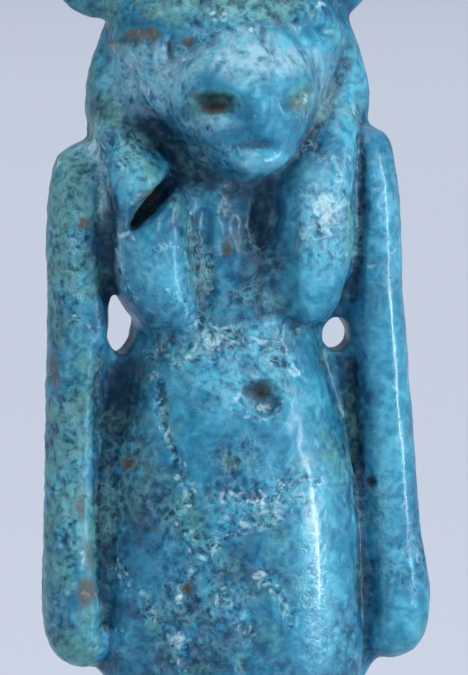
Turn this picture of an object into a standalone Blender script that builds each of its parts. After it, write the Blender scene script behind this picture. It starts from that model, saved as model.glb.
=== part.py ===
"""Lioness-headed goddess in blue glazed composition, standing on a low base.

The figure faces -Y and stands up along +Z. The origin is at the centre of the base's underside.
Each form of the figure is a loft of rounded cross sections. The forms overlap, are fused into one
skin, softened as glaze softens an edge, carved, and set into the base.
"""

import math

import bmesh
import bpy
import numpy as np

MM = 0.001

# Driving sizes
FIGURE_HEIGHT = 67.3 * MM  # soles to ear tips
BASE_HEIGHT = 2.7 * MM
BASE_WIDTH = 13.6 * MM
BASE_LENGTH = 16.8 * MM  # front to back
BASE_ROUNDING = 0.45 * MM
BASE_BEHIND_PILLAR = 0.7 * MM
PILLAR_WIDTH = 6.6 * MM
PILLAR_REACH = 5.6 * MM  # from the figure's axis to the back face
SEAT_DEPTH = 0.9 * MM  # how far feet and pillar sink into the base
SKIN_CELL = 0.26 * MM  # cell of the fused skin
TRIANGLES = 9300

# A hundredth of the figure's height, in which its proportions are given, heights from the soles up
U = FIGURE_HEIGHT / 100
AXIS_Y = BASE_LENGTH / 2 - BASE_BEHIND_PILLAR - PILLAR_REACH
SIDES = 44
RINGS_PER_SPAN = 7
SOFTENING_PASSES = 5

# Levels of a form: height, half width, reach in front of the axis, reach behind it
DRESS = (
    (3.5, 7.2, 4.8, 5.3),  # hem
    (25, 8.9, 5.4, 5.9),  # knees
    (44, 10.8, 6.2, 6.7),  # thighs
    (54, 10.4, 6.2, 6.5),  # hips
    (61, 8.5, 5.8, 5.9),  # belly
    (66.0, 7.2, 4.6, 5.2),  # waist
    (70.5, 7.3, 4.4, 5.3),
    (76, 9.9, 4.3, 5.6),  # chest
    (82, 9.4, 3.8, 5.0),  # shoulders
    (84.5, 5.0, 2.4, 3.6),
)
HOOD = (
    (79, 9.8, 2.9, 7.2),
    (85.3, 11.7, 3.3, 8.9),  # jaw height, its widest
    (90.8, 10.4, 4.2, 8.8),  # eye height
    (94.4, 8.4, 3.9, 7.1),
    (96.3, 4.9, 2.4, 4.2),
    (96.9, 1.5, 0.8, 1.2),  # crown
)
HOOD_DRIFT = 0.6  # the wig sits a little to one side
HAIR_BEHIND = (
    (70.5, 6.8, 1.0, 6.4),
    (72.5, 7.8, 1.0, 7.4),
    (84, 8.8, 1.0, 8.3),
)
FACE = (
    (80.6, 3.6, 6.2, 2.0),
    (83.4, 6.3, 7.2, 2.0),  # jaw
    (87.0, 8.8, 7.4, 2.0),  # cheeks
    (91.4, 9.5, 7.2, 2.0),  # brow
    (94.8, 7.6, 5.8, 2.0),
    (96.4, 4.0, 3.2, 1.5),
)
MUZZLE = (
    (79.7, 1.6, 9.0, -5.0),  # chin
    (80.8, 3.8, 10.8, -2.0),
    (83.0, 5.6, 11.3, 0.0),  # mouth
    (86.0, 6.9, 11.7, 0.0),  # nostrils
    (87.8, 6.9, 10.9, 0.0),
    (90.2, 6.2, 8.8, 0.0),  # bridge of the nose
    (92.4, 4.6, 7.4, 0.0),
)
MUZZLE_DRIFT = 0.4
# Levels of a limb: height, distance out from the middle, half width, half depth
ARM = (
    (83.4, 10.9, 0.8, 1.2),
    (82.7, 11.1, 2.1, 2.4),
    (79.5, 11.6, 2.6, 3.3),  # shoulder
    (68.8, 12.2, 2.4, 3.1),  # elbow
    (50.5, 12.7, 2.4, 2.7),  # wrist
    (45.0, 13.0, 2.8, 3.4),  # fist
    (41.4, 12.6, 2.1, 2.7),
    (40.5, 12.4, 0.8, 1.2),
)
ELBOW = 68
FOREARM_SPREAD = 12  # length over which an arm moves out below the elbow
WRIST = 50
FIST_SPREAD = 4
DROP_LOST_BELOW = 0.7  # share of a low shoulder's drop that the forearm makes up
# Lappets of the wig: height, distance out, half width, reach in front of the axis
LAPPET = (
    (87.5, 9.0, 1.4, 2.4),
    (82.2, 8.0, 2.9, 5.4),
    (78.0, 6.7, 3.5, 6.5),
    (74.0, 6.6, 3.6, 6.4),
    (71.2, 6.3, 3.2, 6.3),
    (69.0, 6.0, 2.6, 6.0),
    (67.8, 5.8, 1.9, 5.2),
)
BROKEN_LAPPET = (
    (87.5, 9.0, 1.5, 2.4),
    (82.2, 8.2, 2.9, 5.4),
    (78.0, 7.0, 3.5, 6.5),
    (74.0, 6.9, 3.7, 6.5),
    (71.4, 6.4, 3.2, 6.4),
    (69.0, 5.8, 2.5, 6.1),
    (67.8, 5.6, 1.8, 5.2),
)
LAPPET_BACK = 1.5
GASH = (-6.6, -6.2, 78.2)  # middle of the deep break across the lappet at the viewer's left
GASH_RADII = (3.4, 3.2, 0.75)
GASH_LEAN = -46
PILLAR_TOP = 81

# The web of paste that fills between arm and body, and the gap in it at the waist
WEB = (
    (37.6, 9.9, 0.6, 2.8),
    (39.2, 11.0, 0.6, 3.2),
    (41.2, 12.2, 0.6, 3.4),  # between the fists
    (81.0, 12.2, 0.6, 3.4),  # shoulders
)
WEB_DRIFT = 0.5
GAPS = ((-8.7, 68.6, 1.45, 3.2), (9.1, 66.4, 1.2, 1.4))  # out, height, half width, half height
GAP_THROUGH = 20

FOOT_HALF_WIDTH = 2.6
FOOT_REACH = 13.2
FOOT_HEEL = 3.5
FOOT_HEIGHT = 4.1
FEET_APART = 3.4
# The foot's height, half width, toe and heel as it rounds over, as shares of the four sizes above
FOOT_ROUNDING = (
    (0.0, 1.0, 1.0, 1.0),
    (0.45, 0.97, 0.96, 0.95),
    (0.8, 0.78, 0.78, 0.8),
    (1.0, 0.4, 0.5, 0.5),
)

EAR_LENGTH = 4.3
EAR_HALF_WIDTH = 3.4
EAR_THICKNESS = 1.7
# Each ear's middle and the lean of its tip. The one at the viewer's left flares out lower
EARS = (((-10.6, -1.0, 96.3), -44), ((9.6, -1.0, 96.2), 20))

# Hollows pressed into the skin: middle, radii, depth. A negative depth is a swelling
HOLLOWS = {
    "left eye socket": ((-8.3, -6.2, 91.0), (3.0, 2.6, 1.5), 0.7),
    "right eye socket": ((6.3, -6.2, 91.0), (3.0, 2.6, 1.5), 0.7),
    "left eye": ((-8.3, -6.2, 91.0), (1.7, 2.4, 0.8), -0.55),
    "right eye": ((6.3, -6.2, 91.0), (1.7, 2.4, 0.8), -0.55),
    "left brow": ((-7.2, -6.2, 93.0), (3.6, 2.6, 1.0), -0.45),
    "right brow": ((5.2, -6.2, 93.0), (3.6, 2.6, 1.0), -0.45),
    "left nostril": ((-3.1, -11.3, 86.0), (2.5, 3.0, 1.3), 1.15),
    "right nostril": ((3.9, -10.5, 86.1), (1.9, 3.0, 1.4), 0.7),
    "ridge of the nose": ((0.4, -11.3, 85.4), (1.2, 3.0, 2.4), -0.35),
    "between the lappets": ((1.2, -4.6, 76.8), (2.6, 3.0, 5.0), 1.0),
    "pit in the belly": ((2.4, -6.0, 61.0), (1.25, 2.5, 1.25), 0.9),
    "left ear": ((-11.1, -2.6, 96.7), (2.3, 2.4, 2.6), 1.0),
    "right ear": ((9.9, -2.6, 96.7), (2.0, 2.4, 2.8), 1.0),
}
# Grooves drawn along routes: half width, depth, route
GROOVES = {
    "mouth": (1.0, 0.7, ((-1.7, -11.4, 81.9), (0.5, -11.4, 82.5), (2.7, -11.4, 81.9))),
    "left jaw": (1.4, 1.0, ((-9.4, -4.8, 89), (-8.6, -5.0, 86), (-6.4, -6.0, 82.5), (-3.4, -6.4, 80))),
    "right jaw": (1.4, 1.0, ((9.4, -4.8, 89), (8.6, -5.0, 86), (6.4, -6.0, 82.5), (3.4, -6.4, 80))),
    "beside left lappet": (0.9, 0.7, ((-9.6, -3.6, 82), (-9.6, -3.8, 70))),
    "beside right lappet": (0.9, 0.7, ((10.3, -3.6, 82), (10.3, -3.8, 70))),
    "parting of the legs": (1.6, 0.35, ((0.6, -6.4, 46), (0.3, -5.8, 20), (0.0, -5.0, 5))),
    "beside left arm": (0.9, 0.5, ((-10.4, -2.4, 60), (-10.9, -2.6, 44))),
    "beside right arm": (0.9, 0.5, ((10.4, -2.4, 60), (10.9, -2.6, 44))),
}


def through(levels, ring_count):
    """Rows on a smooth curve through the levels, each level a row of sizes."""
    rows = np.array(levels, float)
    steps = np.abs(np.diff(rows[:, 0]))
    at = np.concatenate([[0.0], np.cumsum(np.sqrt(steps))])
    slopes = np.gradient(rows, at, axis=0)
    found = []
    for a in range(len(rows) - 1):
        span = at[a + 1] - at[a]
        for step in range(ring_count + (a == len(rows) - 2)):
            t = step / ring_count
            found.append(
                (2 * t**3 - 3 * t**2 + 1) * rows[a]
                + (t**3 - 2 * t**2 + t) * span * slopes[a]
                + (3 * t**2 - 2 * t**3) * rows[a + 1]
                + (t**3 - t**2) * span * slopes[a + 1]
            )
    return found


def section(height, middle, half_width, front, back, power):
    """One closed cross section, in U: an ellipse, squarer where power is over 2."""
    points = []
    for side in range(SIDES):
        angle = 2 * math.pi * side / SIDES
        across = math.copysign(abs(math.cos(angle)) ** (2 / power), math.cos(angle))
        along = math.copysign(abs(math.sin(angle)) ** (2 / power), math.sin(angle))
        reach = front if along > 0 else back
        points.append((middle + half_width * across, -reach * along, height))
    return points


def loft(name, sections):
    """A closed body through the cross sections, with both ends capped."""
    mesh = bpy.data.meshes.new(name)
    bm = bmesh.new()
    rings = [[bm.verts.new([c * U for c in point]) for point in ring] for ring in sections]
    for low, high in zip(rings, rings[1:]):
        for a in range(SIDES):
            b = (a + 1) % SIDES
            bm.faces.new((low[a], low[b], high[b], high[a]))
    bm.faces.new(rings[0])
    bm.faces.new(rings[-1])
    bmesh.ops.recalc_face_normals(bm, faces=bm.faces)
    bm.to_mesh(mesh)
    bm.free()
    form = bpy.data.objects.new(name, mesh)
    bpy.context.collection.objects.link(form)
    return form


def trunk(name, levels, power=2.0, middle=0.0):
    rows = through(levels, RINGS_PER_SPAN)
    return loft(name, [section(h, middle, w, f, b, power) for h, w, f, b in rows])


def arm(side, out, fist_out, drop, fist_drop):
    """An arm hanging straight down to a closed fist. It spreads by out, and its shoulder drops."""
    rings = []
    for height, middle, half_width, half_depth in through(ARM, RINGS_PER_SPAN):
        low = np.clip((ELBOW - height) / FOREARM_SPREAD, 0, 1)
        hand = np.clip((WRIST - height) / FIST_SPREAD, 0, 1)
        place = side * (middle + out * low + fist_out * hand)
        level = height - drop * (1 - DROP_LOST_BELOW * low) - fist_drop * hand
        rings.append(section(level, place, half_width, half_depth, half_depth, 2.3))
    return loft("arm", rings)


def lappet(side, levels):
    rings = []
    for height, middle, half_width, reach in through(levels, RINGS_PER_SPAN):
        rings.append(section(height, side * middle, half_width, reach, LAPPET_BACK, 2.8))
    return loft("lappet", rings)


def ball(name, middle, radii, lean=0.0):
    """An egg-shaped form, leaned sideways by an angle in degrees."""
    bpy.ops.mesh.primitive_uv_sphere_add(segments=32, ring_count=20, radius=1)
    form = bpy.context.object
    form.name = name
    form.scale = [r * U for r in radii]
    form.rotation_euler = (0, math.radians(lean), 0)
    form.location = [c * U for c in middle]
    bpy.ops.object.transform_apply(location=True, rotation=True, scale=True)
    return form


def ears():
    """Round lion's ears."""
    radii = (EAR_HALF_WIDTH, EAR_THICKNESS, EAR_LENGTH)
    return [ball("ear", middle, radii, lean) for middle, lean in EARS]


def feet():
    """Long feet side by side, flat underneath and sunk into the base."""
    sizes = np.array((FOOT_HEIGHT, FOOT_HALF_WIDTH, FOOT_REACH, FOOT_HEEL))
    levels = [sizes * shares for shares in FOOT_ROUNDING]
    levels.insert(0, (-SEAT_DEPTH / U, *sizes[1:]))
    return [trunk("foot", levels, 2.4, side * FEET_APART) for side in (-1, 1)]


def pillar():
    half_width = PILLAR_WIDTH / 2 / U
    reach = PILLAR_REACH / U
    levels = [(height, half_width, 0.1, reach) for height in (-SEAT_DEPTH / U, PILLAR_TOP)]
    return trunk("pillar", levels, 9.0)


def apply(form, kind, **settings):
    modifier = form.modifiers.new(kind.lower(), kind)
    for key, value in settings.items():
        setattr(modifier, key, value)
    bpy.ops.object.select_all(action="DESELECT")
    form.select_set(True)
    bpy.context.view_layer.objects.active = form
    bpy.ops.object.modifier_apply(modifier=modifier.name)


def cut(form, cutter):
    apply(form, "BOOLEAN", operation="DIFFERENCE", object=cutter, solver="EXACT")
    bpy.data.objects.remove(cutter)
    return form


def web():
    """Paste left between each arm and the body, open only in a small gap at the waist."""
    sheet = trunk("web", WEB, 3.5, WEB_DRIFT)
    for out, height, half_width, half_height in GAPS:
        cut(sheet, ball("opening", (out, 0, height), (half_width, GAP_THROUGH, half_height)))
    return sheet


def fused(forms):
    """One skin round all the forms, with its edges softened."""
    bpy.ops.object.select_all(action="DESELECT")
    for form in forms:
        form.select_set(True)
    bpy.context.view_layer.objects.active = forms[0]
    bpy.ops.object.join()
    body = bpy.context.object
    apply(body, "REMESH", mode="VOXEL", voxel_size=SKIN_CELL)
    apply(body, "SMOOTH", factor=0.5, iterations=SOFTENING_PASSES)
    return body


def dent(points, middle, radii, depth):
    """Depth of a round hollow at each point."""
    spread = ((points - np.array(middle)) / np.array(radii)) ** 2
    near = np.clip(1 - spread.sum(axis=1), 0, None)
    return depth * near**1.5


def groove(points, route, half_width, depth):
    """Depth of a groove along straight runs between the points of a route."""
    nearest = np.full(len(points), np.inf)
    for start, end in zip(route, route[1:]):
        start = np.array(start, float)
        run = np.array(end, float) - start
        share = np.clip((points - start) @ run / (run @ run), 0, 1)
        away = np.linalg.norm(points - start - share[:, None] * run, axis=1)
        nearest = np.minimum(nearest, away)
    return depth * np.clip(1 - (nearest / half_width) ** 2, 0, None) ** 1.5


def carve(body):
    """Pushes the skin in along its normals by all the hollows and grooves."""
    mesh = body.data
    count = len(mesh.vertices)
    points = np.empty(count * 3, np.float32)
    normals = np.empty(count * 3, np.float32)
    mesh.vertices.foreach_get("co", points)
    mesh.vertex_normals.foreach_get("vector", normals)
    points = points.reshape(-1, 3).astype(float) / U
    depth = np.zeros(count)
    for middle, radii, deep in HOLLOWS.values():
        depth += dent(points, middle, radii, deep)
    for half_width, deep, route in GROOVES.values():
        depth += groove(points, route, half_width, deep)
    points -= normals.reshape(-1, 3) * depth[:, None]
    mesh.vertices.foreach_set("co", (points * U).astype(np.float32).ravel())
    mesh.update()


def base():
    """A low block with its upright corners and top edges rounded and its underside flat."""
    bpy.ops.mesh.primitive_cube_add(size=1, location=(0, 0, BASE_HEIGHT / 2))
    block = bpy.context.object
    block.scale = (BASE_WIDTH, BASE_LENGTH, BASE_HEIGHT)
    bpy.ops.object.transform_apply(location=True, rotation=True, scale=True)
    bm = bmesh.new()
    bm.from_mesh(block.data)
    edges = [e for e in bm.edges if max(v.co.z for v in e.verts) > BASE_HEIGHT / 2]
    bmesh.ops.bevel(bm, geom=edges, offset=BASE_ROUNDING, segments=3, affect="EDGES", profile=0.5)
    bm.to_mesh(block.data)
    bm.free()
    return block


def glaze():
    """Copper blue glaze, thin and glossy."""
    material = bpy.data.materials.new("blue_glaze")
    material.use_nodes = True
    shader = material.node_tree.nodes["Principled BSDF"]
    shader.inputs["Base Color"].default_value = (0.03, 0.30, 0.40, 1)
    shader.inputs["Roughness"].default_value = 0.3
    shader.inputs["Metallic"].default_value = 0.0
    material.diffuse_color = (0.03, 0.30, 0.40, 1)
    return material


def figurine():
    forms = [trunk("dress", DRESS, 2.2), trunk("hood", HOOD, 2.1, HOOD_DRIFT)]
    forms += [trunk("hair_behind", HAIR_BEHIND, 3.0, HOOD_DRIFT), pillar(), web()]
    forms += [trunk("face", FACE, 2.8), trunk("muzzle", MUZZLE, 2.5, MUZZLE_DRIFT)]
    forms += [arm(-1, 0.3, -0.5, 0.8, 0.0), arm(1, 0.55, 0.0, 0.0, 0.6), lappet(1, LAPPET)]
    forms.append(cut(lappet(-1, BROKEN_LAPPET), ball("gash", GASH, GASH_RADII, GASH_LEAN)))
    forms += ears() + feet()
    body = fused(forms)
    carve(body)
    body.location = (0, AXIS_Y, BASE_HEIGHT)
    bpy.ops.object.transform_apply(location=True, rotation=True, scale=True)
    apply(body, "TRIANGULATE")
    apply(body, "DECIMATE", ratio=TRIANGLES / len(body.data.polygons))
    block = base()
    apply(body, "BOOLEAN", operation="UNION", object=block, solver="EXACT")
    bpy.data.objects.remove(block)
    apply(body, "TRIANGULATE")
    body.name = "lioness_goddess_figurine"
    body.data.materials.clear()
    body.data.materials.append(glaze())
    body.data.shade_smooth()
    body.data.set_sharp_from_angle(angle=math.radians(50))


for thing in list(bpy.data.objects):
    bpy.data.objects.remove(thing)
figurine()
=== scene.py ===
"""Looks of the lioness-headed goddess: weathered blue glaze over one moulded body.

The solid gives the form. A finer skin is drawn over it, the face, breaks and pits are carved into
that skin, and masks painted on it tell the glaze where it is worn, stained or pooled, and where
shade, light, sheen and glints are painted on it.
"""

import math

import bpy
import numpy as np
from mathutils import Matrix, Vector, noise


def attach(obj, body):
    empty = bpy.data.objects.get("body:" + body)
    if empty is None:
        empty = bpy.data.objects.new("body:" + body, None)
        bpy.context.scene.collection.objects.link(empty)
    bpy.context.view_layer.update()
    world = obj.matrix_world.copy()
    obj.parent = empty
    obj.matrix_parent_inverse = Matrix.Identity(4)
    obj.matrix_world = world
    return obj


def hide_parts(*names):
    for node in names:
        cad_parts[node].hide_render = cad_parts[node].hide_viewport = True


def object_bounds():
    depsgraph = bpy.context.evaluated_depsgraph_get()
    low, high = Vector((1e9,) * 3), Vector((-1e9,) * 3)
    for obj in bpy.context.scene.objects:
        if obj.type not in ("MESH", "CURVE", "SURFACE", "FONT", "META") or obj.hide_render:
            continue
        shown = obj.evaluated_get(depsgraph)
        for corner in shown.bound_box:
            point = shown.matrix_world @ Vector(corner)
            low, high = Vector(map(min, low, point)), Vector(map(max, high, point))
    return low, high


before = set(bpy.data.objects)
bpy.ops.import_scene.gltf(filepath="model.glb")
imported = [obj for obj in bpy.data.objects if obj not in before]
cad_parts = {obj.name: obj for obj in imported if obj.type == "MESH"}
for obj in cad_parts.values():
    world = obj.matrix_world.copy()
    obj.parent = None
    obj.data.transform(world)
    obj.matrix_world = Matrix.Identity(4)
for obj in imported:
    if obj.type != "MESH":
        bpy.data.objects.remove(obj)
CAD_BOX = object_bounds()

MM = 0.001
NODE = "lioness_goddess_figurine"
SLOT = "blue_glaze"
AXIS_Y = 2.1  # mm, the figure's upright axis behind the middle of the base

# The camera, a long lens a little to the figure's right and above. Angles in degrees, lengths in mm
PHOTO_WIDTH = 468
PHOTO_HEIGHT = 675
PX_PER_MM = 18.4
SENSOR_WIDTH = 36
DISTANCE = 450.0
YAW = -12.0
RISE = 5.0
ROLL = 1.2
VIEW_HEIGHT = 47.4  # what the middle of the picture looks at
VIEW_SHIFT = 0.41
NEAREST_SEEN = 20

# The paper behind the figure, in metres
BACKDROP_WIDTH = 8.0
BACKDROP_DEPTH = 6.4
BACKDROP_BACK = 3.2
BACKDROP_HEIGHT = 3.0
BACKDROP_BEND = 0.8
BEND_STEPS = 12

# The finer skin
SKIN_CELL = 0.15  # mm
SOFTENING_PASSES = 30
EASING_PASSES = 2  # after the carving
MOST_TRIANGLES = 196000
STEP_IN = 0.5  # share of the way to its neighbours' mean that a point goes in one pass
STEP_OUT = -0.52
BLUR_STEP = 0.7
FACING_GAIN = 3  # how soon a mark reaches full strength on a side that turns to the camera
WELD = 1e-6  # metres

# Noise over the body: middle value, spread to each side, size of its features in mm, seed
NOISES = {
    "uneven thickness": (0, 0.06, 2.4, 1),
    "wear": (0, 0.035, 0.9, 2),
    "fine wear": (0, 0.022, 0.42, 9),
    "flaked areas": (0, 1.8, 3.5, 3),
    "flakes": (-0.2, 2, 0.45, 4),
    "left arm relief": (0, 1, 0.5, 7),
    "lime relief": (0, 1, 0.3, 8),
    "pale": (0.18, 0.45, 4.0, 5),
    "teal": (0.15, 0.5, 6.0, 6),
    "left arm edge": (0, 16, 1.6, 10),
    "left arm teal": (0.60, 0.6, 1.5, 13),
    "green": (0.9, 0.5, 0.9, 14),
    "mark edges across": (0, 2.2, 0.7, 11),
    "mark edges down": (0, 2.2, 0.7, 12),
}
SEED_STEP = (7.3, 3.1, 5.7)
FLAKE_DEPTH = 0.05  # mm, as the next two
LEFT_ARM_DEPTH = 0.05
LIME_DEPTH = 0.06
SMOOTH_SWELL = 0.5  # share of the uneven thickness that smooth places lose
PALE_LIMIT = 0.5
# Powers by which marks fade out from their middles. A low one gives a flat mark with a steep edge
PAINT_FADE = 0.8
HOLLOW_FADE = 0.8
CREASE_FADE = 1.5
BREAK_FADE = 0.7
SMOOTH_FADE = 0.5
# How far a hollow reaches that holds glaze, then one that holds shade: smoothing passes, strength
POOLED_REACH = (14, 6.0)
SHELTERED_REACH = (120, 1.6)

# Marks on the front are given in pixels of the picture. Left and right are the viewer's.
# Hollows in the surface: x, y, half width, half height, lean in degrees, depth in mm
HOLLOWS = {
    "left nostril": (213, 107, 30, 15, 0, 0.06),
    "left nostril slot": (212, 101, 25, 7, 0, 0.14),
    "left eye corner": (128, 44, 16, 4, 2, 0.16),
    "inner corner": (187, 43, 7, 5, 0, 0.16),
    "left temple": (108, 48, 9, 16, 8, 0.12),
    "under left cheek": (150, 128, 34, 20, 42, 0.08),
    "chest hollow": (266, 214, 18, 48, 4, 0.36),
    "chest pit": (226, 249, 8, 11, 0, 0.20),
    "throat": (215, 205, 22, 20, 20, 0.16),
    "belly pit": (261, 397, 21, 20, 0, 0.50),
    "side pit": (186, 590, 9, 10, 0, 0.28),
    "oval pit": (133, 608, 16, 12, 0, 0.18),
    "hip pit": (370, 481, 7, 6, 0, 0.26),
    "rusty pit": (128, 463, 9, 9, 0, 0.14),
    "skirt pit": (231, 463, 9, 9, 0, 0.16),
    "under the left gap": (118, 392, 22, 46, 6, 0.22),
    "low pit": (242, 661, 8, 14, 0, 0.16),
    "shoulder crust": (86, 130, 9, 14, 0, 0.12),
    "right eye ball": (319, 33, 20, 9, 0, 0.26),
    "mouth": (256, 143, 26, 8, 0, 0.08),
}
# Swellings, given in the same way
SWELLINGS = {
    "nose": (259, 108, 13, 34, 0, 0.10),
    "left nostril rim": (218, 124, 24, 6, 0, 0.08),
    "right nostril fill": (296, 103, 24, 17, -20, 0.12),
    "left eye": (134, 34, 16, 7, 0, 0.08),
    "broken lock": (124, 176, 32, 32, 0, 0.30),
    "right eye fill": (319, 34, 38, 18, 0, 0.18),
    "left brow": (130, 18, 30, 8, -8, 0.08),
    "right brow": (306, 18, 26, 7, 8, 0.08),
    "chin": (257, 164, 32, 16, 0, 0.08),
}
# Creases with soft edges: half width in pixels, depth in mm, route through pixels
CREASES = {
    "left jaw": (22, 0.26, ((112, 108), (150, 130), (190, 152), (226, 180))),
    "right jaw": (12, 0.12, ((346, 66), (334, 92), (318, 124), (298, 152))),
    "break tail": (10, 0.22, ((170, 182), (180, 160), (176, 150))),
    "left slot": (6, 0.24, ((171, 39), (168, 56))),
    "right slot": (4, 0.22, ((262, 30), (264, 44))),
    "right slot below": (4, 0.20, ((270, 38), (273, 58))),
    "hair edge": (5, 0.12, ((188, 22), (206, 31), (230, 30))),
    "forelock": (8, 0.10, ((196, 0), (198, 22))),
    "left lappet inside": (9, 0.22, ((205, 214), (207, 262), (210, 320))),
    "left lappet groove": (5, 0.10, ((186, 212), (194, 262), (200, 318))),
    "right lappet inside": (12, 0.20, ((290, 204), (288, 262), (294, 322))),
    "beside left lappet": (13, 0.34, ((104, 150), (105, 230), (108, 290))),
    "beside right lappet": (9, 0.22, ((361, 140), (362, 210), (354, 300))),
    "beside left arm": (10, 0.20, ((100, 352), (97, 440), (98, 540), (104, 640))),
    "beside right arm": (8, 0.20, ((350, 360), (357, 470), (360, 560), (366, 640))),
    "side crack": (5, 0.12, ((160, 384), (163, 420), (172, 450), (184, 486))),
    "parting of the legs": (16, 0.10, ((238, 560), (242, 620), (243, 690))),
}
# The break across the wig, with sharp edges: it tapers towards the jaw
BREAK = {
    "wide end": (9, 0.42, ((130, 221), (150, 204))),
    "middle": (8, 0.40, ((145, 208), (160, 195))),
    "narrow end": (6, 0.12, ((156, 198), (171, 184))),
}
# Places where the glaze ran smooth: x, y, half width, half height, share
SMOOTH_PLACES = {
    "right of skirt": (318, 580, 40, 160, 0.95),
    "right arm": (390, 380, 34, 290, 0.85),
    "chin": (258, 164, 46, 22, 0.6),
    "muzzle top": (262, 66, 80, 26, 0.6),
    "slab": (156, 276, 34, 50, 0.4),
    "right hip": (320, 430, 30, 50, 0.5),
    "right wig": (354, 108, 9, 34, 0.9),
}
# Where the left arm ends, and the widths over which its relief and its teal fade out
LEFT_ARM_EDGE = 110
LEFT_ARM_RELIEF_FADE = 20
LEFT_ARM_TEAL_FADE = 26
# Tool marks across the left arm
TOOL_MARK_WIDTH = 4
TOOL_MARK_DEPTH = 0.07
TOOL_MARKS = (
    ((64, 190), (76, 181), (88, 194)),
    ((58, 206), (66, 214), (78, 212)),
    ((58, 226), (68, 230), (78, 238)),
    ((60, 252), (72, 262), (84, 256)),
    ((58, 278), (74, 284), (88, 280)),
    ((64, 292), (80, 308), (92, 326)),
    ((56, 330), (70, 344), (84, 342)),
    ((52, 378), (66, 384), (82, 376)),
    ((54, 470), (66, 500), (72, 540)),
)
# Painted shade, toward navy, along the creases and grooves between the forms: half width, share,
# route
SHADOW_LINES = {
    "left jaw": (24, 0.6, ((114, 108), (150, 130), (190, 152), (228, 180))),
    "break": (13, 0.7, ((132, 222), (152, 204), (174, 184), (184, 164))),
    "beside slab": (10, 0.95, ((110, 200), (108, 250), (110, 300))),
    "chest groove": (12, 1.0, ((262, 184), (260, 212), (258, 242))),
    "chest line": (5, 0.9, ((262, 240), (260, 284), (261, 320))),
    "slab line": (5, 0.7, ((194, 215), (199, 262), (203, 326))),
    "right jaw": (7, 0.8, ((346, 62), (334, 90), (318, 124), (298, 152))),
    "beside right lappet": (5, 0.7, ((361, 140), (362, 210), (354, 300))),
    "beside right arm": (5, 0.8, ((352, 360), (357, 470), (360, 535), (360, 605))),
    "beside left arm": (6, 0.6, ((100, 352), (97, 440), (98, 540))),
    "under the chin": (9, 0.6, ((212, 184), (240, 192), (262, 186))),
    "side crack": (4, 0.7, ((163, 384), (166, 420))),
    "left eye line": (3, 0.9, ((121, 40), (149, 42))),
    "forehead slots": (3, 0.6, ((262, 28), (264, 46), (272, 56))),
}
# Lines of crazing and lime, with their widths
LIME_LINES = {
    "side seam": (8, ((155, 378), (160, 410), (168, 436), (176, 462), (190, 492))),
    "belt left": (12, ((150, 352), (176, 362), (196, 344))),
    "belt": (16, ((196, 340), (236, 334), (262, 346), (292, 366))),
    "branch": (9, ((226, 496), (254, 499), (278, 492), (292, 474), (318, 484))),
    "fern": (12, ((300, 498), (268, 520), (236, 528))),
    "fern tail": (12, ((236, 516), (214, 540), (204, 556))),
    "left sprig": (8, ((190, 498), (178, 516), (192, 540), (190, 566))),
    "hem crust": (11, ((220, 600), (240, 618), (252, 640))),
    "right specks": (10, ((262, 572), (276, 592), (292, 622))),
    "left crust": (10, ((118, 566), (130, 590), (152, 606), (146, 622))),
    "low crust": (11, ((176, 632), (184, 650), (180, 664))),
    "left edge of slab": (5, ((117, 236), (118, 262), (132, 298))),
    "right edge of slab": (6, ((189, 212), (193, 240), (198, 262))),
    "slab foot": (9, ((196, 322), (216, 334), (240, 328))),
    "second ridge": (5, ((208, 254), (210, 292))),
    "slab arc": (5, ((154, 252), (166, 244), (182, 250))),
    "lower arc": (5, ((168, 290), (184, 298), (188, 314))),
    "pit rim": (5, ((243, 405), (251, 416), (263, 420), (276, 413), (282, 401))),
    "lappet crest": (9, ((310, 150), (336, 160), (344, 190), (330, 230), (306, 236))),
    "left shoulder": (9, ((96, 150), (108, 180), (104, 212))),
    "cheek": (10, ((128, 92), (148, 84), (166, 70))),
    "under the eye": (8, ((120, 60), (150, 62), (172, 76))),
}
# Bare chalky spots, and painted glints at the crown, forelock, right lappet and right wig: x, y, half
# width, half height, share
CHALK_SPOTS_AND_GLINTS = {
    "break fleck": (125, 236, 11, 5, 1.0),
    "slab fleck": (163, 218, 5, 4, 0.7),
    "waist": (211, 343, 11, 9, 1.0),
    "belly pit floor": (264, 407, 9, 6, 0.9),
    "beside the pit": (238, 396, 4, 8, 0.7),
    "belly": (292, 372, 5, 6, 0.8),
    "belly left": (190, 358, 12, 4, 0.6),
    "shoulder": (94, 146, 7, 9, 0.9),
    "shoulder top": (56, 162, 6, 7, 0.8),
    "crown right": (321, 5, 7, 6, 0.9),
    "forelock": (252, 28, 6, 5, 0.9),
    "crown": (218, 16, 12, 9, 0.6),
    "brow": (187, 60, 14, 7, 0.5),
    "temple": (114, 44, 6, 14, 0.7),
    "branch": (256, 500, 11, 5, 0.9),
    "branch tip": (286, 484, 8, 5, 0.9),
    "side pit": (178, 599, 6, 6, 0.8),
    "low": (178, 640, 9, 12, 0.6),
    "low left": (120, 625, 8, 12, 0.5),
    "nostril": (302, 116, 9, 5, 0.6),
    "right nostril": (304, 98, 5, 7, 0.5),
    "right lappet": (326, 212, 15, 26, 0.9),
    "right wig": (355, 110, 3, 13, 0.9),
    "left wrist": (84, 560, 6, 14, 0.6),
}
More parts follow.
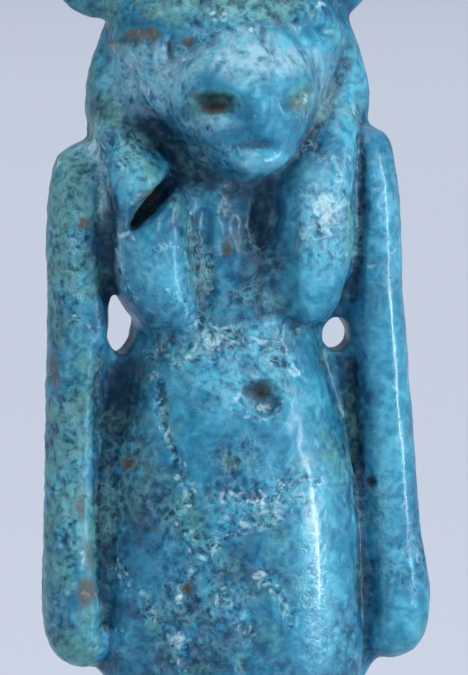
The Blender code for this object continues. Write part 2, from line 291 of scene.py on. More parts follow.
# Paler ground, on the muzzle top and the right lappet also in part painted sheen: x, y, half width,
# half height, share
PALE_GROUND = {
    "left cheek": (150, 80, 56, 48, 1.0),
    "under left nostril": (205, 124, 40, 14, 0.8),
    "muzzle": (262, 64, 84, 24, 0.6),
    "forehead": (226, 38, 44, 26, 0.7),
    "right lappet": (322, 222, 36, 66, 0.9),
    "waist": (216, 346, 74, 26, 1.0),
    "belly": (240, 384, 74, 46, 0.6),
    "left shoulder": (94, 152, 28, 40, 1.0),
    "broken lock": (126, 160, 36, 34, 0.8),
    "chin": (228, 152, 48, 22, 0.4),
    "hips": (250, 500, 70, 34, 0.6),
    "lower skirt": (200, 600, 80, 70, 0.55),
    "left hip": (112, 500, 22, 90, 0.45),
    "wig crown": (250, 10, 110, 24, 0.6),
    "left arm": (68, 250, 28, 120, 0.9),
    "left forearm": (66, 480, 26, 160, 0.6),
    "slab": (160, 270, 44, 54, 0.35),
    "chest foot": (230, 300, 40, 30, 0.5),
}
# Smooth pale film, and painted sheen on the muzzle top, bridge, chin and right lappet, given in the
# same way
FILM_AND_SHEEN_GROUND = {
    "muzzle": (256, 60, 84, 20, 1.0),
    "bridge": (250, 44, 40, 22, 0.6),
    "left cheek": (150, 76, 50, 44, 0.7),
    "right cheek": (322, 92, 18, 34, 0.4),
    "under left nostril": (212, 124, 34, 10, 0.5),
    "right lappet": (322, 212, 26, 36, 0.7),
    "chin": (262, 166, 34, 14, 0.3),
    "lappet top": (326, 172, 30, 26, 0.3),
    "beside the lock": (102, 190, 9, 44, 0.6),
    "slab edge": (120, 262, 6, 40, 0.5),
    "left shoulder": (92, 140, 16, 26, 0.6),
    "left hip": (84, 500, 8, 110, 0.35),
}
# Greener glaze, given in the same way
GREEN_GLAZE = {
    "crown": (220, 8, 130, 26, 0.7),
    "left ear": (104, 16, 30, 22, 0.8),
    "lock rim": (150, 184, 12, 34, 0.9),
    "lock top": (130, 144, 34, 14, 0.6),
    "left wig": (104, 104, 20, 56, 0.8),
    "right nostril": (300, 100, 28, 20, 0.7),
    "right face edge": (324, 104, 12, 44, 0.7),
    "left nostril": (212, 104, 36, 18, 0.7),
    "slab right edge": (190, 262, 9, 66, 0.8),
    "throat": (216, 206, 26, 20, 0.6),
    "chest left": (204, 280, 10, 60, 0.5),
    "skirt pit": (232, 462, 34, 14, 0.4),
    "side crack": (165, 404, 6, 26, 0.9),
    "low line": (242, 664, 6, 14, 0.9),
    "right of belly": (350, 430, 14, 70, 0.4),
    "lappet edge": (350, 240, 8, 70, 0.6),
    "lock beside": (176, 206, 16, 22, 0.5),
}
# Brown and orange stains, given in the same way
STAINS = {
    "left hand": (86, 592, 13, 20, 1.1),
    "forearm": (81, 508, 7, 20, 0.75),
    "gash rim": (146, 196, 16, 12, 0.7),
    "left wrist": (90, 556, 7, 22, 0.75),
    "shoulder": (84, 134, 9, 16, 0.95),
    "upper arm": (85, 224, 11, 9, 1.0),
    "elbow": (54, 372, 8, 30, 0.75),
    "rusty pit": (128, 463, 9, 9, 0.9),
    "inner corner": (186, 42, 10, 6, 1.0),
    "left eye": (142, 35, 26, 9, 1.1),
    "beside left eye": (116, 46, 12, 12, 0.5),
    "side pit": (187, 589, 8, 8, 0.8),
    "chest pit": (227, 249, 7, 10, 0.9),
    "left nostril": (214, 108, 17, 8, 1.0),
    "under the gap": (142, 368, 12, 20, 0.5),
    "right nostril": (298, 104, 18, 13, 0.45),
    "belly pit": (259, 398, 18, 16, 0.55),
    "cheek edge": (94, 108, 7, 22, 0.5),
}
# Near black painted shade in the nostrils, slots, pits, mouth and the break, given in the same way
DARKS = {
    "left nostril top": (211, 97, 28, 7, 0.6),
    "left nostril": (212, 106, 28, 10, 0.55),
    "belly pit": (258, 390, 19, 13, 0.85),
    "hip pit": (370, 481, 6, 6, 0.9),
    "left slot": (169, 48, 4, 10, 0.8),
    "temple": (113, 40, 7, 5, 0.5),
    "skirt pit": (231, 463, 7, 7, 0.4),
    "right nostril": (288, 104, 9, 11, 0.4),
    "right nostril top": (308, 90, 10, 6, 0.4),
    "mouth": (256, 144, 24, 6, 0.45),
    "gash": (149, 204, 12, 11, 0.45),
    "gash low": (138, 214, 10, 9, 0.5),
}
# Deep, navy glaze, and painted shade in the recesses at the jaw, throat, chest, the gaps and inside
# the left arm, given in the same way
DEEP_GLAZE_AND_SHADE = {
    "left jaw": (150, 130, 44, 30, 0.3),
    "chest": (250, 244, 42, 84, 0.9),
    "throat": (196, 186, 40, 26, 0.6),
    "under the left gap": (118, 396, 32, 70, 1.0),
    "left of skirt": (124, 500, 36, 96, 0.6),
    "under the right gap": (350, 400, 24, 70, 0.6),
    "low skirt": (196, 640, 60, 44, 0.9),
    "skirt middle": (236, 560, 60, 60, 0.6),
    "hem": (240, 668, 130, 30, 0.5),
    "forelock": (196, 12, 16, 22, 0.7),
    "forehead right": (285, 24, 44, 16, 0.4),
    "crown": (230, 4, 130, 26, 0.45),
    "skirt left": (170, 540, 60, 110, 0.45),
    "hips": (230, 490, 80, 60, 0.3),
    "left arm inside": (104, 250, 14, 90, 0.8),
    "belly foot": (240, 460, 50, 24, 0.5),
    "left arm low": (60, 640, 30, 26, 0.4),
}
# Smooth, brighter glaze, and painted light on the sides turned to the lamps, such as the right of the
# skirt, arm, hand, wig and lappet, given in the same way
BRIGHT_GLAZE_AND_LIGHT = {
    "chin": (256, 166, 46, 20, 0.6),
    "right of skirt": (320, 590, 30, 140, 0.8),
    "right arm": (392, 380, 26, 280, 0.5),
    "right hand": (400, 628, 28, 36, 0.6),
    "right wig": (352, 110, 10, 40, 0.6),
    "belly side": (318, 410, 26, 70, 0.15),
    "belly": (230, 390, 70, 50, 0.5),
    "left lappet": (160, 270, 40, 48, 0.4),
    "lock": (124, 178, 18, 18, 0.7),
    "brow right": (306, 42, 38, 24, 0.7),
    "left cheek": (140, 84, 44, 34, 0.7),
    "right lappet": (320, 230, 34, 80, 0.7),
    "muzzle": (262, 66, 84, 26, 0.4),
}

# Colours of the glaze and of what lies on it, as linear light. Navy and the near black also serve as
# painted shade, bright blue as painted light
NAVY = (0.003, 0.024, 0.055)
DEEP_BLUE = (0.004, 0.070, 0.150)
BLUE = (0.022, 0.192, 0.312)
BRIGHT_BLUE = (0.070, 0.355, 0.490)
DEEP_TEAL = (0.012, 0.085, 0.110)
TEAL = (0.050, 0.230, 0.250)
GREEN = (0.095, 0.270, 0.230)
VEIN = (0.170, 0.450, 0.520)
PALE = (0.450, 0.680, 0.740)
CREAM = (0.500, 0.470, 0.370)
RUST = (0.105, 0.056, 0.028)
OCHRE = (0.240, 0.190, 0.120)
SHADE_BLACK = (0.016, 0.017, 0.014)
OLIVE = (0.075, 0.075, 0.040)
FILM = (0.200, 0.330, 0.420)
BLOOM_AND_SHEEN = (0.300, 0.500, 0.600)

NOISE_MIDDLE = 0.5
# Ways of stirring a place, so that a pattern loses its straight edges: scale, detail, distance in mm
STIRRINGS = {
    "bent": (0.8, 2.0, 1.4),
    "swirled": (0.9, 0.0, 0.9),
    "stirred": (1.5, 0.0, 0.32),
}
DRAWN_OUT = (1.0, 1.0, 0.45)  # draws a pattern out along the figure's height
# Patterns in the glaze: the place they follow, scale, detail
PATTERNS = {
    "cloud": ("bent", 0.42, 4.0),
    "hue": ("bent", 0.45, 4.0),
    "mottle": ("swirled", 1.5, 3.0),
    "fine": ("stirred", 3.0, 2.0),
    "film cloud": ("stirred", 2.1, 3.0),
    "streaks": ("drawn out", 2.2, 2.0),
    "wide veins": ("swirled", 1.3, 1.0),
    "narrow veins": ("stirred", 2.3, 1.0),
    "veined areas": ("plain", 0.9, 2.0),
    "pit cloud": ("stirred", 2.2, 1.0),
    "fleck cloud": ("plain", 1.3, 2.0),
}
# Weights of masks and patterns in what they make up together, and the number added to them
SHADE = {"added": 0, "depth": 0.34, "hollow": 0.30, "pooled": 0.14, "shadow": 0.55}
MOTTLING = {"added": 0.6, "worn": 1, "teal": 0.9}
FINE_MOTTLING = {"added": 0.2, "worn": 1.2, "teal": 0.5}
LIGHT = {"added": 0.28, "cloud": 0.9, "uneven": 1, "shade": -1}
GREENNESS = {"added": -0.28, "teal": 0.55, "hue": 1, "fine": 0.3}
GREENEST = {"added": -0.4, "greenness": 1, "fine": 0.8}
BLOOMING_AND_SHEEN = {"added": -1.3, "streaks": 4.0}
VEINED = {"added": 0, "pale": 1.2, "lime": 0.8}
PITTED = {"added": 0.1, "worn": 0.45}
FLECKED = {"added": 0, "pale": 0.10, "lime": 0.66, "pooled": -0.1}
CHALKED_AND_GLINTS = {"added": -1.9, "chalk_and_glints": 0.8, "fine": 2.0, "mottle": 1.4}
CRUSTED = {"added": -1.35, "stain": 1, "mottle": 1.6, "fine": 1}
BLACKENED = {"added": -0.35, "dark": 1.3, "mottle": 0.5}
ROUGHNESS = {
    "added": 0.40,
    "gloss": -0.22,
    "worn": 0.08,
    "shadow": 0.2,
    "deepest": 0.25,
    "bare_and_glints": 0.3,
    "crust": 0.3,
    "dark": 0.3,
}
COAT = {"added": 0.10, "gloss": 0.4, "worn": -0.1, "bare_and_glints": -0.3, "crust": -0.3}
RELIEF = {"added": 0, "uneven": 1.2, "bare_and_glints": -0.3, "veins": 0.3, "crust": 0.4, "pits": -0.4}
# Low and high end of each soft step, on the noise, mask or sum that it is taken of
STEPS = {
    "worn": (0.15, 0.8),
    "deep teal": (0.4, 0.8),
    "teal": (0.45, 0.95),
    "out of navy": (0.12, 0.62),
    "out of the deep": (0.42, 0.90),
    "bright blue": (0.78, 1.15),
    "green": (0.45, 1.1),
    "film": (0.42, 0.66),
    "veined areas": (0.40, 0.66),
    "pits": (0.60, 0.74),
    "flecked areas": (0.25, 0.7),
    "flecks": (0, 0.08),
    "fleck edge": (0.12, 0.40),
    "chalk_and_glints": (0, 0.6),
    "cream": (0.35, 0.7),
    "pale in the cream": (0.4, 0.6),
    "crust": (0, 1),
    "rust": (0.4, 0.6),
    "ochre": (0.52, 0.8),
    "black": (0, 0.25),
}
LIME_WEAR = 0.8  # wear that a line of lime stands for, where the palest ground has 1
WIDE_VEIN = 0.06
NARROW_VEIN = 0.07
NARROW_VEIN_SHARE = 0.8
CHALK_AND_GLINT_EDGE = 3  # how steeply a spot of chalk or a painted glint ends at the rim of its mark
STAIN_EDGE = 2
# How strongly each layer covers what lies below it
GREEN_COVER = 0.7
FILM_COVER = 0.55
BLOOM_AND_SHEEN_COVER = 0.72
VEIN_COVER = 0.6
CHALK_AND_GLINT_COVER = 0.62
CRUST_COVER = 0.8
# Flecks of lime: lean in degrees, length and breadth in mm, share beside the others, strength
FLECKS = (
    (12, 1.5, 0.42, 1.0, 1.0),
    (-42, 1.3, 0.40, 1.0, 1.0),
    (78, 1.4, 0.42, 1.0, 1.0),
    (30, 0.50, 0.40, 1.1, 0.8),
)
# The sheen of the glaze
SHEEN_COLOUR = (0.45, 0.75, 0.95)
COAT_ROUGHNESS = 0.15
REFRACTION = 1.42
RELIEF_STRENGTH = 0.8
RELIEF_DEPTH = 0.08  # mm

# The room
PAPER_COLOUR = (0.66, 0.71, 0.81)
PAPER_SHADE = 0.97
PAPER_CLOUD = (6.0, 2.0)  # scale, detail
PAPER_ROUGHNESS = 0.9
PAPER_SHEEN = 0.2
ROOM_COLOUR = (0.84, 0.88, 0.97)
ROOM_STRENGTH = 0.42
FIGURE_MIDDLE = (0, AXIS_Y * MM, 0.046)
FLOOR_BEHIND = (0, 0.9, 0)
# Lamps: azimuth, height, distance, width and length in metres, power, aim, fan in degrees.
# Azimuth 0 is in front of the figure, 90 at the viewer's right
LAMPS = {
    "key_strip": (50, 0.061, 0.16, (0.013, 0.106), 0.026, FIGURE_MIDDLE, 60),
    "top_soft": (10, 0.42, 0.22, (0.20, 0.16), 0.98, FIGURE_MIDDLE, 180),
    "left_fill": (-60, 0.12, 0.50, (0.16, 0.30), 0.35, FIGURE_MIDDLE, 180),
    "floor_wash": (180, 1.1, 0.9, (2.2, 1.8), 12.8, FLOOR_BEHIND, 180),
}


class Wire:
    """A shader socket that can stand in a sum, with wires or plain numbers beside it."""

    def __init__(self, finish, socket):
        self.finish = finish
        self.socket = socket

    def math(self, operation, *values):
        return self.finish.node("ShaderNodeMath", {"operation": operation}, *values)

    def __add__(self, other):
        return self.math("ADD", self, other)

    def __sub__(self, other):
        return self.math("SUBTRACT", self, other)

    def __rsub__(self, other):
        return self.math("SUBTRACT", other, self)

    def __mul__(self, other):
        return self.math("MULTIPLY", self, other)

    def capped(self):
        return self.finish.node("ShaderNodeClamp", {}, self)

    def most(self, other):
        return self.math("MAXIMUM", self, other)

    def beside(self, name):
        """Another output of the node that this wire comes from."""
        return Wire(self.finish, self.socket.node.outputs[name])

    def ridge(self, width):
        """1 along the line where a noise crosses its middle value, falling to 0 beside it."""
        return 1 - self.math("ABSOLUTE", self - NOISE_MIDDLE).over(0, width)

    def over(self, low, high):
        """Rises softly from 0 to 1 as the value goes from low to high."""
        settings = {"interpolation_type": "SMOOTHSTEP"}
        return self.finish.node("ShaderNodeMapRange", settings, self, low, high)

    def step(self, name):
        """Rises softly from 0 to 1 over one of the named steps."""
        return self.over(*STEPS[name])


class Finish:
    """One material while it is being wired."""

    def __init__(self, name):
        self.material = bpy.data.materials.new(name)
        self.material.use_nodes = True
        self.tree = self.material.node_tree
        self.shader = self.tree.nodes["Principled BSDF"].inputs

    def set(self, socket, value):
        if isinstance(value, Wire):
            self.tree.links.new(value.socket, socket)
        elif isinstance(value, tuple) and socket.type == "RGBA":
            socket.default_value = (*value, 1)
        else:
            socket.default_value = value

    def node(self, kind, settings, *values, out=None, **named):
        """Adds a node, first its settings, then its sockets in order or by name."""
        node = self.tree.nodes.new(kind)
        for key, value in settings.items():
            setattr(node, key, value)
        sockets = [socket for socket in node.inputs if socket.enabled]
        for socket, value in zip(sockets, values):
            self.set(socket, value)
        for key, value in named.items():
            self.set(node.inputs[key.replace("_", " ")], value)
        shown = [socket for socket in node.outputs if socket.enabled]
        return Wire(self, node.outputs[out] if out else shown[0])

    def mix(self, share, first, second):
        return self.node("ShaderNodeMix", {"data_type": "RGBA"}, share, first, second)

    def moved(self, place, by, amount):
        """A place shifted along a wandering vector."""
        middle = (NOISE_MIDDLE, NOISE_MIDDLE, NOISE_MIDDLE)
        push = self.node("ShaderNodeVectorMath", {"operation": "SUBTRACT"}, by, middle)
        settings = {"operation": "MULTIPLY_ADD"}
        return self.node("ShaderNodeVectorMath", settings, push, (amount, amount, amount), place)

    def stretched(self, place, scale):
        """A place scaled unevenly, so that a pattern is drawn out along one axis."""
        return self.node("ShaderNodeVectorMath", {"operation": "MULTIPLY"}, place, scale)

    def noise(self, place, scale, detail, out="Fac"):
        named = {"Vector": place, "Scale": scale, "Detail": detail}
        return self.node("ShaderNodeTexNoise", {}, out=out, **named)

    def flecks(self, place, lean, length, breadth, share):
        """Separate flecks that lie at a lean across the front, of which only a share shows."""
        settings = {"rotation_type": "Y_AXIS"}
        named = {"Vector": place, "Angle": math.radians(lean)}
        turned = self.node("ShaderNodeVectorRotate", settings, **named)
        drawn = self.stretched(turned, (1 / length, 1 / breadth, 1 / breadth))
        away = self.node("ShaderNodeTexVoronoi", {}, out="Distance", Vector=drawn, Scale=1.0)
        chance = self.node("ShaderNodeSeparateColor", {}, away.beside("Color"), out="Red")
        return (1 - away.step("fleck edge")) * (share - chance).step("flecks")

    def painted(self, name):
        return self.node("ShaderNodeAttribute", {"attribute_name": name}, out="Fac")


class Glaze(Finish):
    """Copper glaze: blue where thick, teal where thin, crazed, flecked with lime and stained, with
    painted shade, light, sheen and glints.
    """

    def __init__(self, name, masks):
        super().__init__(name)
        raw = self.node("ShaderNodeTexCoord", {}, out="Object")
        plain = self.node("ShaderNodeVectorMath", {"operation": "SCALE"}, raw, Scale=1 / MM)
        places = {"plain": plain}
        for way, (scale, detail, distance) in STIRRINGS.items():
            drift = self.noise(plain, scale, detail, "Color")
            places[way] = self.moved(plain, drift, distance)
        places["drawn out"] = self.stretched(places["stirred"], DRAWN_OUT)
        self.stirred = places["stirred"]
        self.seen = {mask: self.painted(mask) for mask in masks}
        for pattern, (place, scale, detail) in PATTERNS.items():
            self.seen[pattern] = self.noise(places[place], scale, detail)
        self.wear()
        colour = self.deposits(self.crazed(self.body()))
        self.set(self.shader["Base Color"], colour)
        self.sheen()

    def weighed(self, weights):
        """Masks and patterns by their names, each times its weight, added up."""
        total = weights["added"]
        for name, weight in weights.items():
            if name != "added":
                total = self.seen[name] * weight + total
        return total

    def wear(self):
        """What the masks and patterns say together about wear, shade and unevenness."""
        seen = self.seen
        seen["deepest"] = seen["depth"].most(0)
        seen["hollow"] = seen["sheltered"].most(0)
        seen["shade"] = self.weighed(SHADE)
        seen["worn"] = seen["pale"].most(seen["lime"] * LIME_WEAR).step("worn")
        coarse = (seen["mottle"] - NOISE_MIDDLE) * self.weighed(MOTTLING)
        seen["uneven"] = coarse + (seen["fine"] - NOISE_MIDDLE) * self.weighed(FINE_MOTTLING)
        seen["light"] = self.weighed(LIGHT)
        seen["greenness"] = self.weighed(GREENNESS)

    def body(self):
        """The glaze itself, from navy through blue or teal to bright blue and green, with painted
        shade toward navy and painted light toward bright blue.
        """
        light, green = self.seen["light"], self.seen["greenness"]
        deep = self.mix(green.step("deep teal"), DEEP_BLUE, DEEP_TEAL)
        middle = self.mix(green.step("teal"), BLUE, TEAL)
        colour = self.mix(light.step("out of navy"), NAVY, deep)
        colour = self.mix(light.step("out of the deep"), colour, middle)
        colour = self.mix(light.step("bright blue"), colour, BRIGHT_BLUE)
        greenest = self.weighed(GREENEST).step("green")
        return self.mix(greenest * GREEN_COVER, colour, GREEN)

    def crazed(self, colour):
        """Pale film and bloom over the glaze, the bloom partly painted sheen, then its crazing and
        small pits.
        """
        seen = self.seen
        film = seen["film cloud"].step("film") * seen["pale"]
        colour = self.mix(film * FILM_COVER, colour, FILM)
        # Bloom streaks, partly painted sheen on the muzzle top and the right lappet
        bloom_and_sheen = (seen["film"] * self.weighed(BLOOMING_AND_SHEEN)).capped()
        colour = self.mix(bloom_and_sheen * BLOOM_AND_SHEEN_COVER, colour, BLOOM_AND_SHEEN)
        narrow = seen["narrow veins"].ridge(NARROW_VEIN) * NARROW_VEIN_SHARE
        veins = seen["wide veins"].ridge(WIDE_VEIN).most(narrow)
        veins = veins * seen["veined areas"].step("veined areas")
        seen["veins"] = veins * self.weighed(VEINED).capped()
        colour = self.mix(seen["veins"] * VEIN_COVER, colour, VEIN)
        seen["pits"] = seen["pit cloud"].step("pits") * self.weighed(PITTED)
        return self.mix(seen["pits"], colour, DEEP_BLUE)

    def deposits(self, colour):
        """Flecks of lime, bare chalky spots with painted glints, brown crust, and near black painted
        shade.
        """
        seen = self.seen
        mottle, fine = seen["mottle"], seen["fine"]
        share = self.weighed(FLECKED)
        flecks = 0
        for lean, length, breadth, more, strength in FLECKS:
            found = self.flecks(self.stirred, lean, length, breadth, share * more) * strength
            flecks = found.most(flecks)
        flecks = flecks * seen["fleck cloud"].step("flecked areas")
        patches = self.weighed(CHALKED_AND_GLINTS).step("chalk_and_glints") * (seen["chalk_and_glints"] * CHALK_AND_GLINT_EDGE).capped()
        seen["bare_and_glints"] = flecks.most(patches)
        cream = self.mix(fine.step("pale in the cream"), CREAM, PALE)
        chalk_and_glints = self.mix(mottle.step("cream"), PALE, cream)
        colour = self.mix(seen["bare_and_glints"] * CHALK_AND_GLINT_COVER, colour, chalk_and_glints)
        seen["crust"] = self.weighed(CRUSTED).step("crust") * (seen["stain"] * STAIN_EDGE).capped()
        brown = self.mix(mottle.step("rust"), OLIVE, RUST)
        rusty = self.mix(fine.step("ochre"), brown, OCHRE)
        colour = self.mix(seen["crust"] * CRUST_COVER, colour, rusty)
        # Near black painted shade in the deepest hollows
        black = self.weighed(BLACKENED).capped() * seen["dark"].step("black")
        return self.mix(black, colour, SHADE_BLACK)

    def sheen(self):
        """Glossy where the glaze ran smooth, dull where it is worn, limed or crusted."""
        self.set(self.shader["Roughness"], self.weighed(ROUGHNESS).capped())
        self.set(self.shader["Coat Weight"], self.weighed(COAT).capped())
        self.set(self.shader["Coat Roughness"], COAT_ROUGHNESS)
        self.set(self.shader["IOR"], REFRACTION)
        self.set(self.shader["Specular Tint"], SHEEN_COLOUR)
        named = {"Strength": RELIEF_STRENGTH, "Distance": RELIEF_DEPTH * MM}
        relief = self.weighed(RELIEF)
        bumped = self.node("ShaderNodeBump", {}, out="Normal", Height=relief, **named)
        self.set(self.shader["Normal"], bumped)


def paper():
    """Matt paper with a faint cloud in its tone."""
    made = Finish("paper")
    place = made.node("ShaderNodeTexCoord", {}, out="Object")
    cloud = made.noise(place, *PAPER_CLOUD)
    shade = tuple(channel * PAPER_SHADE for channel in PAPER_COLOUR)
    made.set(made.shader["Base Color"], made.mix(cloud, PAPER_COLOUR, shade))
    made.set(made.shader["Roughness"], PAPER_ROUGHNESS)
    made.set(made.shader["Specular IOR Level"], PAPER_SHEEN)
    return made.material


def camera():
    """The photograph's viewpoint, with the turn that its picture has."""
    yaw = math.radians(YAW)
    rise = math.radians(RISE)
    level = math.cos(rise)
    away = Vector((math.sin(yaw) * level, -math.cos(yaw) * level, math.sin(rise)))
    turn = away.to_track_quat("Z", "Y").to_matrix() @ Matrix.Rotation(math.radians(-ROLL), 3, "Z")
    middle = Vector((0, AXIS_Y, VIEW_HEIGHT)) + turn @ Vector((VIEW_SHIFT, 0, 0))
    bpy.ops.object.camera_add()
    made = bpy.context.object
    made.name = "camera"
    made.matrix_world = Matrix.Translation((middle + away * DISTANCE) * MM) @ turn.to_4x4()
    made.data.sensor_fit = "HORIZONTAL"
    made.data.sensor_width = SENSOR_WIDTH
    made.data.lens = SENSOR_WIDTH * DISTANCE * PX_PER_MM / PHOTO_WIDTH
    made.data.clip_start = NEAREST_SEEN * MM
    bpy.context.scene.camera = made
    return made


class Skin:
    """The points of the fine skin in millimetres, with where each one shows in the picture."""

    def __init__(self, piece, eye):
        self.piece = piece
        self.eye = eye
        mesh = piece.data
        flat = np.empty(len(mesh.vertices) * 3, np.float32)
        mesh.vertices.foreach_get("co", flat)
        self.points = flat.reshape(-1, 3).astype(float) / MM
        ends = np.empty(len(mesh.edges) * 2, np.int32)
        mesh.edges.foreach_get("vertices", ends)
        self.ends = ends.reshape(-1, 2)
        self.stray = [self.clouded(name) for name in ("mark edges across", "mark edges down")]
        self.place()

    def place(self):
        """Puts the points into the mesh, and finds how each lies in the picture and to the camera."""
        mesh = self.piece.data
        mesh.vertices.foreach_set("co", (self.points * MM).astype(np.float32).ravel())
        mesh.update()
        flat = np.empty(len(self.points) * 3, np.float32)
        mesh.vertex_normals.foreach_get("vector", flat)
        self.normals = flat.reshape(-1, 3).astype(float)
        turn = np.array(self.eye.matrix_world.to_3x3())
        spot = np.array(self.eye.matrix_world.translation) / MM
        local = (self.points - spot) @ turn
        reach = DISTANCE * PX_PER_MM / -local[:, 2]
        self.x = PHOTO_WIDTH / 2 + local[:, 0] * reach + self.stray[0]
        self.y = PHOTO_HEIGHT / 2 - local[:, 1] * reach + self.stray[1]
        self.facing = np.clip(self.normals @ turn[:, 2] * FACING_GAIN, 0, 1)

    def around(self, values):
        """Each point's mean over its neighbours."""
        count = len(self.points)
        a, b = self.ends.T
        share = np.bincount(a, minlength=count) + np.bincount(b, minlength=count)
        columns = values.reshape(count, -1).T
        sums = [np.bincount(a, c[b], count) + np.bincount(b, c[a], count) for c in columns]
        return (np.array(sums) / share).T.reshape(values.shape)

    def soften(self, passes):
        """Smooths without shrinking: each pass in is followed by a slightly stronger one out."""
        for _ in range(passes):
            for step in (STEP_IN, STEP_OUT):
                self.points += (self.around(self.points) - self.points) * step
        self.place()

    def push(self, depth):
        """Moves the skin in along its normals, by millimetres at each point."""
        self.points -= self.normals * depth[:, None]
        self.place()

    def spot(self, x, y, across, down, lean=0.0):
        """1 at a pixel of the picture, falling to 0 at an ellipse round it, where the skin shows."""
        turn = math.radians(lean)
        u = (self.x - x) * math.cos(turn) + (self.y - y) * math.sin(turn)
        v = (self.y - y) * math.cos(turn) - (self.x - x) * math.sin(turn)
        near = np.clip(1 - (u / across) ** 2 - (v / down) ** 2, 0, 1)
        return near * self.facing

    def run(self, route, width):
        """1 along a line through pixels of the picture, falling to 0 at its width on each side."""
        nearest = np.full(len(self.x), np.inf)
        for (x0, y0), (x1, y1) in zip(route, route[1:]):
            length = (x1 - x0) ** 2 + (y1 - y0) ** 2
            share = np.clip(((self.x - x0) * (x1 - x0) + (self.y - y0) * (y1 - y0)) / length, 0, 1)
            away = np.hypot(self.x - x0 - share * (x1 - x0), self.y - y0 - share * (y1 - y0))
            nearest = np.minimum(nearest, away)
        return np.clip(1 - (nearest / width) ** 2, 0, 1) * self.facing

    def strongest(self, marks, power):
        """The strongest of several marks at each point, each fading out by a power."""
        found = np.zeros(len(self.points))
        for x, y, across, down, share in marks.values():
            found = np.maximum(found, share * self.spot(x, y, across, down) ** power)
        return found

    def clouded(self, name):
        """One of the named noises, at every point."""
        middle, spread, size, seed = NOISES[name]
        offset = Vector([seed * step for step in SEED_STEP])
        places = (self.points / size).tolist()
        return middle + spread * np.array([noise.noise(Vector(p) + offset) for p in places])

    def hollowness(self, passes, strength):
        """Above 0 where the skin lies below its smoothed self, below 0 on ridges."""
        smooth = self.points.copy()
        for _ in range(passes):
            smooth += (self.around(smooth) - smooth) * BLUR_STEP
        return np.clip(((smooth - self.points) * self.normals).sum(axis=1) * strength, -1, 1)


def apply(piece, kind, **settings):
    modifier = piece.modifiers.new(kind.lower(), kind)
    for key, value in settings.items():
        setattr(modifier, key, value)
    bpy.ops.object.select_all(action="DESELECT")
    piece.select_set(True)
    bpy.context.view_layer.objects.active = piece
    bpy.ops.object.modifier_apply(modifier=modifier.name)


def fine_skin():
    """The solid's surface again, in small even cells, without its facets."""
    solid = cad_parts[NODE]
    piece = solid.copy()
    piece.data = solid.data.copy()
    piece.name = "glazed_figurine"
    piece.parent = None
    for key in list(piece.keys()):
        del piece[key]
    bpy.context.collection.objects.link(piece)
    bpy.ops.object.select_all(action="DESELECT")
    piece.select_set(True)
    bpy.context.view_layer.objects.active = piece
    bpy.ops.object.mode_set(mode="EDIT")
    bpy.ops.mesh.select_all(action="SELECT")
    bpy.ops.mesh.remove_doubles(threshold=WELD)
    bpy.ops.object.mode_set(mode="OBJECT")
    piece.data.materials.clear()
    apply(piece, "REMESH", mode="VOXEL", voxel_size=SKIN_CELL * MM)
    return piece


def carving(skin):
    """Depth of the face's forms, the break, the pits and the creases between the forms."""
    depth = np.zeros(len(skin.points))
    for x, y, across, down, lean, deep in HOLLOWS.values():
        depth += deep * skin.spot(x, y, across, down, lean) ** HOLLOW_FADE
    for x, y, across, down, lean, high in SWELLINGS.values():
        depth -= high * skin.spot(x, y, across, down, lean)
    for width, deep, route in CREASES.values():
        depth += deep * skin.run(route, width) ** CREASE_FADE
    opened = np.zeros(len(skin.points))
    for width, deep, route in BREAK.values():
        opened = np.maximum(opened, deep * skin.run(route, width) ** BREAK_FADE)
    depth += opened
    for route in TOOL_MARKS:
        depth += TOOL_MARK_DEPTH * skin.run(route, TOOL_MARK_WIDTH)
    return depth


def weathering(skin):
    """Uneven thickness, wear and flaking that are big enough to be form."""
    smooth = skin.strongest(SMOOTH_PLACES, SMOOTH_FADE)
    depth = skin.clouded("wear") + skin.clouded("fine wear")
    swell = skin.clouded("uneven thickness") * (1 - SMOOTH_SWELL * smooth)
    depth = depth * (1 - smooth) + swell
    flaked = np.clip(skin.clouded("flaked areas"), 0, 1)
    depth += FLAKE_DEPTH * flaked * np.clip(skin.clouded("flakes"), 0, 1) * (1 - smooth)
    arm = np.clip((LEFT_ARM_EDGE - skin.x) / LEFT_ARM_RELIEF_FADE, 0, 1)
    depth += LEFT_ARM_DEPTH * arm * skin.clouded("left arm relief")
    crusted = np.abs(skin.clouded("lime relief"))
    for width, route in LIME_LINES.values():
        depth += LIME_DEPTH * skin.run(route, width) * crusted
    return depth


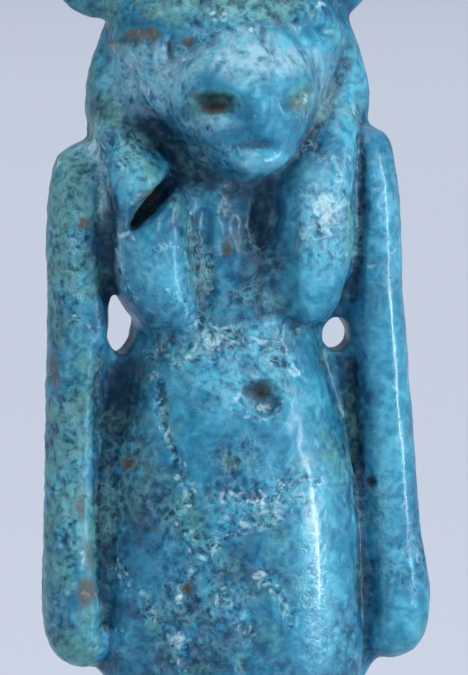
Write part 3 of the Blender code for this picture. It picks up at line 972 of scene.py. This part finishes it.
def masks(skin):
    """Where the glaze is worn pale, limed, stained, greened, deep, bright or pooled, and where shade,
    light, sheen and glints are painted.
    """
    lime = np.zeros(len(skin.points))
    for width, route in LIME_LINES.values():
        lime = np.maximum(lime, skin.run(route, width))
    shadow = np.zeros(len(skin.points))
    for width, share, route in SHADOW_LINES.values():
        shadow = np.maximum(shadow, share * skin.run(route, width) ** PAINT_FADE)
    edge = LEFT_ARM_EDGE - skin.x + skin.clouded("left arm edge")
    left_arm = np.clip(edge / LEFT_ARM_TEAL_FADE, 0, 1) * skin.clouded("left arm teal")
    green = skin.strongest(GREEN_GLAZE, PAINT_FADE) * skin.clouded("green")
    teal = np.maximum(np.maximum(np.clip(skin.clouded("teal"), 0, 1), left_arm), green)
    pale = np.clip(skin.clouded("pale"), 0, PALE_LIMIT)
    # Deep glaze with painted shade, less the bright glaze with painted light, make one depth mask
    deep = skin.strongest(DEEP_GLAZE_AND_SHADE, PAINT_FADE)
    return {
        "pale": np.maximum(pale, skin.strongest(PALE_GROUND, PAINT_FADE)),
        "lime": lime,
        "chalk_and_glints": skin.strongest(CHALK_SPOTS_AND_GLINTS, PAINT_FADE),
        "stain": skin.strongest(STAINS, PAINT_FADE),
        "dark": skin.strongest(DARKS, PAINT_FADE),
        "teal": teal,
        "film": skin.strongest(FILM_AND_SHEEN_GROUND, PAINT_FADE),
        "gloss": skin.strongest(SMOOTH_PLACES, PAINT_FADE) ** 2,
        "depth": deep - skin.strongest(BRIGHT_GLAZE_AND_LIGHT, PAINT_FADE),
        "shadow": shadow,
        "pooled": skin.hollowness(*POOLED_REACH),
        "sheltered": skin.hollowness(*SHELTERED_REACH),
    }


def keep_inside(piece):
    """Holds every point within the solid's own box, so that the underside stays flat."""
    flat = np.empty(len(piece.data.vertices) * 3, np.float32)
    piece.data.vertices.foreach_get("co", flat)
    low, high = (np.array(corner) for corner in CAD_BOX)
    held = np.clip(flat.reshape(-1, 3), low, high)
    piece.data.vertices.foreach_set("co", held.astype(np.float32).ravel())
    piece.data.update()


def figurine(eye):
    piece = fine_skin()
    skin = Skin(piece, eye)
    skin.soften(SOFTENING_PASSES)
    skin.push(carving(skin))
    skin.soften(EASING_PASSES)
    skin.push(weathering(skin))
    painted = masks(skin)
    for name, values in painted.items():
        layer = piece.data.attributes.new(name, "FLOAT", "POINT")
        layer.data.foreach_set("value", values.astype(np.float32))
    triangles = 2 * len(piece.data.polygons)
    if triangles > MOST_TRIANGLES:
        apply(piece, "DECIMATE", ratio=MOST_TRIANGLES / triangles, use_collapse_triangulate=True)
    keep_inside(piece)
    piece.data.shade_smooth()
    piece.data.materials.append(Glaze(SLOT, painted).material)
    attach(piece, "root")
    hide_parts(NODE)


def stage():
    """A pale floor that sweeps up into a pale lavender backdrop."""
    bpy.ops.mesh.primitive_plane_add(size=1, location=(0, 0, 0))
    backdrop = bpy.context.object
    backdrop.name = "backdrop"
    backdrop.scale = (BACKDROP_WIDTH, BACKDROP_DEPTH, 1)
    backdrop.location = (0, BACKDROP_BACK - BACKDROP_DEPTH / 2, 0)
    bpy.ops.object.transform_apply(location=True, rotation=True, scale=True)
    bpy.ops.object.mode_set(mode="EDIT")
    bpy.ops.mesh.select_mode(type="EDGE")
    bpy.ops.mesh.select_all(action="DESELECT")
    bpy.ops.object.mode_set(mode="OBJECT")
    for edge in backdrop.data.edges:
        edge.select = all(backdrop.data.vertices[i].co.y > 0 for i in edge.vertices)
    bpy.ops.object.mode_set(mode="EDIT")
    bpy.ops.mesh.extrude_region_move(TRANSFORM_OT_translate={"value": (0, 0, BACKDROP_HEIGHT)})
    bpy.ops.object.mode_set(mode="OBJECT")
    for edge in backdrop.data.edges:
        ends = [backdrop.data.vertices[i].co for i in edge.vertices]
        edge.select = all(end.y > 0 and end.z < BACKDROP_BEND for end in ends)
    bpy.ops.object.mode_set(mode="EDIT")
    bpy.ops.mesh.bevel(offset=BACKDROP_BEND, segments=BEND_STEPS, affect="EDGES")
    bpy.ops.object.mode_set(mode="OBJECT")
    backdrop.data.shade_smooth()
    backdrop.data.materials.append(paper())


def lights():
    for name, (azimuth, height, distance, size, power, aim, fan) in LAMPS.items():
        angle = math.radians(azimuth)
        place = Vector((math.sin(angle) * distance, -math.cos(angle) * distance, height))
        bpy.ops.object.light_add(type="AREA", location=place)
        made = bpy.context.object
        made.name = name
        made.rotation_euler = (Vector(aim) - place).to_track_quat("-Z", "Y").to_euler()
        made.data.shape = "RECTANGLE"
        made.data.size, made.data.size_y = size
        made.data.energy = power
        made.data.spread = math.radians(fan)
    world = bpy.data.worlds.new("room")
    world.use_nodes = True
    room = world.node_tree.nodes["Background"].inputs
    room["Color"].default_value = (*ROOM_COLOUR, 1)
    room["Strength"].default_value = ROOM_STRENGTH
    bpy.context.scene.world = world
    bpy.context.scene.view_settings.view_transform = "Standard"


figurine(camera())
stage()
lights()
